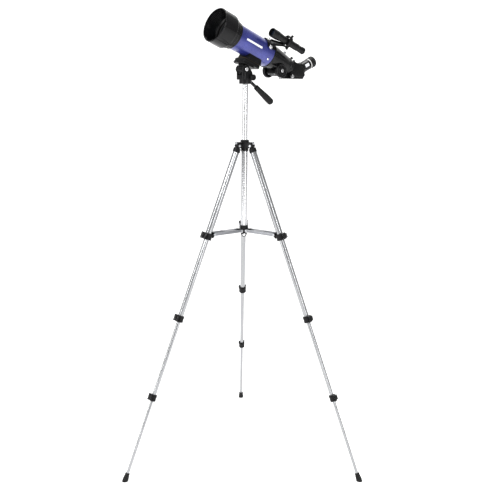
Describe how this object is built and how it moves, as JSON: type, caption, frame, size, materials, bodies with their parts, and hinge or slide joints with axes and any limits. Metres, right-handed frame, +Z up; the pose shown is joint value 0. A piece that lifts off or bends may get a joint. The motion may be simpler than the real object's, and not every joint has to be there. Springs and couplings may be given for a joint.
{
  "type": "telescope on tripod",
  "caption": "Small refractor telescope with finder, 45 degree diagonal and pan head on a folding aluminium tripod with telescoping legs.",
  "frame": {"origin": "middle of the footprint's bounding box, on the floor", "axes": "+Z up, +Y towards the back leg, -Y towards the front between the other two legs, +X to the right seen from the front"},
  "size_m": [0.633, 0.5502, 1.2],
  "materials": {
    "silver": "satin anodised",
    "grey": "satin grey",
    "black": "fine grain",
    "gloss": "high gloss",
    "blue": "gloss metallic",
    "rubber": "matt",
    "glass": "coated",
    "level": "clear green"
  },
  "bodies": {
    "tripod_center": {"spider": "black", "guide_tube": "silver"},
    "collar": {"column_collar": "black"},
    "hub": {"brace_hub": "black"},
    "leg1_upper": {"leg1_cap": "black", "leg1_tube1": "silver", "leg1_lock1": "black"},
    "leg1_second": {"leg1_tube2": "silver", "leg1_lock2": "black"},
    "leg1_third": {"leg1_tube3": "silver", "leg1_lock3": "black"},
    "leg1_fourth": {"leg1_tube4": "silver", "leg1_foot": "rubber"},
    "leg1_flip1": {"leg1_lever1": "black"},
    "leg1_flip2": {"leg1_lever2": "black"},
    "leg1_flip3": {"leg1_lever3": "black"},
    "strut1": {"brace1": "grey"},
    "leg2_upper": {"leg2_cap": "black", "leg2_tube1": "silver", "leg2_lock1": "black"},
    "leg2_second": {"leg2_tube2": "silver", "leg2_lock2": "black"},
    "leg2_third": {"leg2_tube3": "silver", "leg2_lock3": "black"},
    "leg2_fourth": {"leg2_tube4": "silver", "leg2_foot": "rubber"},
    "leg2_flip1": {"leg2_lever1": "black"},
    "leg2_flip2": {"leg2_lever2": "black"},
    "leg2_flip3": {"leg2_lever3": "black"},
    "strut2": {"brace2": "grey"},
    "leg3_upper": {"leg3_cap": "black", "leg3_tube1": "silver", "leg3_lock1": "black"},
    "leg3_second": {"leg3_tube2": "silver", "leg3_lock2": "black"},
    "leg3_third": {"leg3_tube3": "silver", "leg3_lock3": "black"},
    "leg3_fourth": {"leg3_tube4": "silver", "leg3_foot": "rubber"},
    "leg3_flip1": {"leg3_lever1": "black"},
    "leg3_flip2": {"leg3_lever2": "black"},
    "leg3_flip3": {"leg3_lever3": "black"},
    "strut3": {"brace3": "grey"},
    "column": {"center_column": "silver"},
    "pan_head": {"pan_body": "black"},
    "pan_lock": {"pan_knob": "black"},
    "tilt_head": {"tilt_block": "black"},
    "pan_handle": {"handle": "black"},
    "telescope": {"platform": "black", "bubble_level": "level", "main_tube": "blue", "dew_shield": "gloss", "objective": "glass", "focuser_body": "gloss", "finder_bracket": "black", "finder_scope": "gloss"},
    "focus_tube": {"drawtube": "gloss"},
    "focus_wheel": {"focus_knobs": "black"},
    "star_diagonal": {"diagonal": "gloss"},
    "ocular": {"eyepiece": "black"}
  },
  "joints": [
    {"name": "column_collar_twist", "type": "hinge", "parent": "tripod_center", "child": "collar", "pos_m": [0, -0.08927, 0.875], "axis": [0, 0, 1], "range_deg": [0, 60]},
    {"name": "hub_slide", "type": "slide", "parent": "tripod_center", "child": "hub", "axis": [0, 0, 1], "range_m": [-0.0001, 0.0675]},
    {"name": "leg1_fold", "type": "hinge", "parent": "tripod_center", "child": "leg1_upper", "pos_m": [0, -0.06945, 0.86275], "axis": [-1, 0, 0], "range_deg": [0, 19.3]},
    {"name": "leg1_section2_slide", "type": "slide", "parent": "leg1_upper", "child": "leg1_second", "axis": [0, -0.3633, 0.9317], "range_m": [0, 0.198]},
    {"name": "leg1_lever1_flip", "type": "hinge", "parent": "leg1_upper", "child": "leg1_flip1", "pos_m": [0.00945, 0.03299, 0.63565], "axis": [0, 0.3633, -0.9317], "range_deg": [0, 100]},
    {"name": "leg1_section3_slide", "type": "slide", "parent": "leg1_second", "child": "leg1_third", "axis": [0, -0.3633, 0.9317], "range_m": [0, 0.19]},
    {"name": "leg1_lever2_flip", "type": "hinge", "parent": "leg1_second", "child": "leg1_flip2", "pos_m": [0.00785, 0.11385, 0.42385], "axis": [0, 0.3633, -0.9317], "range_deg": [0, 100]},
    {"name": "leg1_section4_slide", "type": "slide", "parent": "leg1_third", "child": "leg1_fourth", "axis": [0, -0.3633, 0.9317], "range_m": [0, 0.192]},
    {"name": "leg1_lever3_flip", "type": "hinge", "parent": "leg1_third", "child": "leg1_flip3", "pos_m": [0.0062, 0.19175, 0.21949], "axis": [0, 0.3633, -0.9317], "range_deg": [0, 100]},
    {"name": "strut1_swing", "type": "hinge", "parent": "hub", "child": "strut1", "pos_m": [0, -0.07677, 0.6385], "axis": [-1, 0, 0], "range_deg": [-0.2, 86.6]},
    {"name": "leg2_fold", "type": "hinge", "parent": "tripod_center", "child": "leg2_upper", "pos_m": [-0.01717, -0.09918, 0.86275], "axis": [0.5, -0.866, 0], "range_deg": [-0.05, 19.35]},
    {"name": "leg2_section2_slide", "type": "slide", "parent": "leg2_upper", "child": "leg2_second", "axis": [0.3146, 0.1816, 0.9317], "range_m": [0, 0.198]},
    {"name": "leg2_lever1_flip", "type": "hinge", "parent": "leg2_upper", "child": "leg2_flip1", "pos_m": [-0.11061, -0.14222, 0.63565], "axis": [-0.3146, -0.1816, -0.9317], "range_deg": [0, 100]},
    {"name": "leg2_section3_slide", "type": "slide", "parent": "leg2_second", "child": "leg2_third", "axis": [0.3146, 0.1816, 0.9317], "range_m": [0, 0.19]},
    {"name": "leg2_lever2_flip", "type": "hinge", "parent": "leg2_second", "child": "leg2_flip2", "pos_m": [-0.17983, -0.18404, 0.42385], "axis": [-0.3146, -0.1816, -0.9317], "range_deg": [0, 100]},
    {"name": "leg2_section4_slide", "type": "slide", "parent": "leg2_third", "child": "leg2_fourth", "axis": [0.3146, 0.1816, 0.9317], "range_m": [0, 0.192]},
    {"name": "leg2_lever3_flip", "type": "hinge", "parent": "leg2_third", "child": "leg2_flip3", "pos_m": [-0.24648, -0.22442, 0.21949], "axis": [-0.3146, -0.1816, -0.9317], "range_deg": [0, 100]},
    {"name": "strut2_swing", "type": "hinge", "parent": "hub", "child": "strut2", "pos_m": [-0.01083, -0.09552, 0.6385], "axis": [0.5, -0.866, 0], "range_deg": [-0.2, 86.6]},
    {"name": "leg3_fold", "type": "hinge", "parent": "tripod_center", "child": "leg3_upper", "pos_m": [0.01717, -0.09918, 0.86275], "axis": [0.5, 0.866, 0], "range_deg": [-0.05, 19.35]},
    {"name": "leg3_section2_slide", "type": "slide", "parent": "leg3_upper", "child": "leg3_second", "axis": [-0.3146, 0.1816, 0.9317], "range_m": [0, 0.198]},
    {"name": "leg3_lever1_flip", "type": "hinge", "parent": "leg3_upper", "child": "leg3_flip1", "pos_m": [0.10116, -0.15859, 0.63565], "axis": [0.3146, -0.1816, -0.9317], "range_deg": [0, 100]},
    {"name": "leg3_section3_slide", "type": "slide", "parent": "leg3_second", "child": "leg3_third", "axis": [-0.3146, 0.1816, 0.9317], "range_m": [0, 0.19]},
    {"name": "leg3_lever2_flip", "type": "hinge", "parent": "leg3_second", "child": "leg3_flip2", "pos_m": [0.17198, -0.19763, 0.42385], "axis": [0.3146, -0.1816, -0.9317], "range_deg": [0, 100]},
    {"name": "leg3_section4_slide", "type": "slide", "parent": "leg3_third", "child": "leg3_fourth", "axis": [-0.3146, 0.1816, 0.9317], "range_m": [0, 0.192]},
    {"name": "leg3_lever3_flip", "type": "hinge", "parent": "leg3_third", "child": "leg3_flip3", "pos_m": [0.24028, -0.23516, 0.21949], "axis": [0.3146, -0.1816, -0.9317], "range_deg": [0, 100]},
    {"name": "strut3_swing", "type": "hinge", "parent": "hub", "child": "strut3", "pos_m": [0.01083, -0.09552, 0.6385], "axis": [0.5, 0.866, 0], "range_deg": [-0.2, 86.6]},
    {"name": "column_slide", "type": "slide", "parent": "tripod_center", "child": "column", "axis": [0, 0, 1], "range_m": [-0.138, 0]},
    {"name": "pan", "type": "hinge", "parent": "column", "child": "pan_head", "pos_m": [0, -0.08927, 1.02], "axis": [0, 0, 1], "continuous": true},
    {"name": "pan_lock_twist", "type": "hinge", "parent": "pan_head", "child": "pan_lock", "pos_m": [0.0188, -0.09978, 1.036], "axis": [0.6293, -0.7771, 0], "range_deg": [0, 270]},
    {"name": "tilt", "type": "hinge", "parent": "pan_head", "child": "tilt_head", "pos_m": [-0.00777, -0.09557, 1.056], "axis": [-0.6293, 0.7771, 0], "range_deg": [-66, 8]},
    {"name": "handle_twist", "type": "hinge", "parent": "tilt_head", "child": "pan_handle", "pos_m": [-0.0117, -0.09874, 1.0491], "axis": [0.6279, 0.5085, -0.5892], "range_deg": [0, 180]},
    {"name": "portrait_flip", "type": "hinge", "parent": "tilt_head", "child": "telescope", "pos_m": [-0.01622, -0.07564, 1.06967], "axis": [-0.7255, -0.5875, 0.3584], "range_deg": [0, 90]},
    {"name": "focus_slide", "type": "slide", "parent": "telescope", "child": "focus_tube", "axis": [0.7255, 0.5875, -0.3584], "range_m": [0, 0.045]},
    {"name": "focus_wheel_turn", "type": "hinge", "parent": "telescope", "child": "focus_wheel", "pos_m": [0.07809, -0.02603, 1.05451], "axis": [-0.6293, 0.7771, 0], "range_deg": [-1, 565]},
    {"name": "diagonal_turn", "type": "hinge", "parent": "focus_tube", "child": "star_diagonal", "pos_m": [0.11608, 0.00473, 1.06466], "axis": [-0.7255, -0.5875, 0.3584], "continuous": true},
    {"name": "eyepiece_slide", "type": "slide", "parent": "star_diagonal", "child": "ocular", "axis": [0.71, 0.5749, 0.4067], "range_m": [0, 0.015]}
  ],
  "couplings": [
    {"joint": "strut1_swing", "follows": "leg1_fold", "ratio": 4.477},
    {"joint": "strut2_swing", "follows": "leg1_fold", "ratio": 4.477},
    {"joint": "leg2_fold", "follows": "leg1_fold", "ratio": 1},
    {"joint": "strut3_swing", "follows": "leg1_fold", "ratio": 4.477},
    {"joint": "leg3_fold", "follows": "leg1_fold", "ratio": 1},
    {"joint": "hub_slide", "follows": "leg1_fold", "m_per_rad": 0.1998},
    {"joint": "focus_wheel_turn", "follows": "focus_slide", "rad_per_m": 217.4}
  ]
}
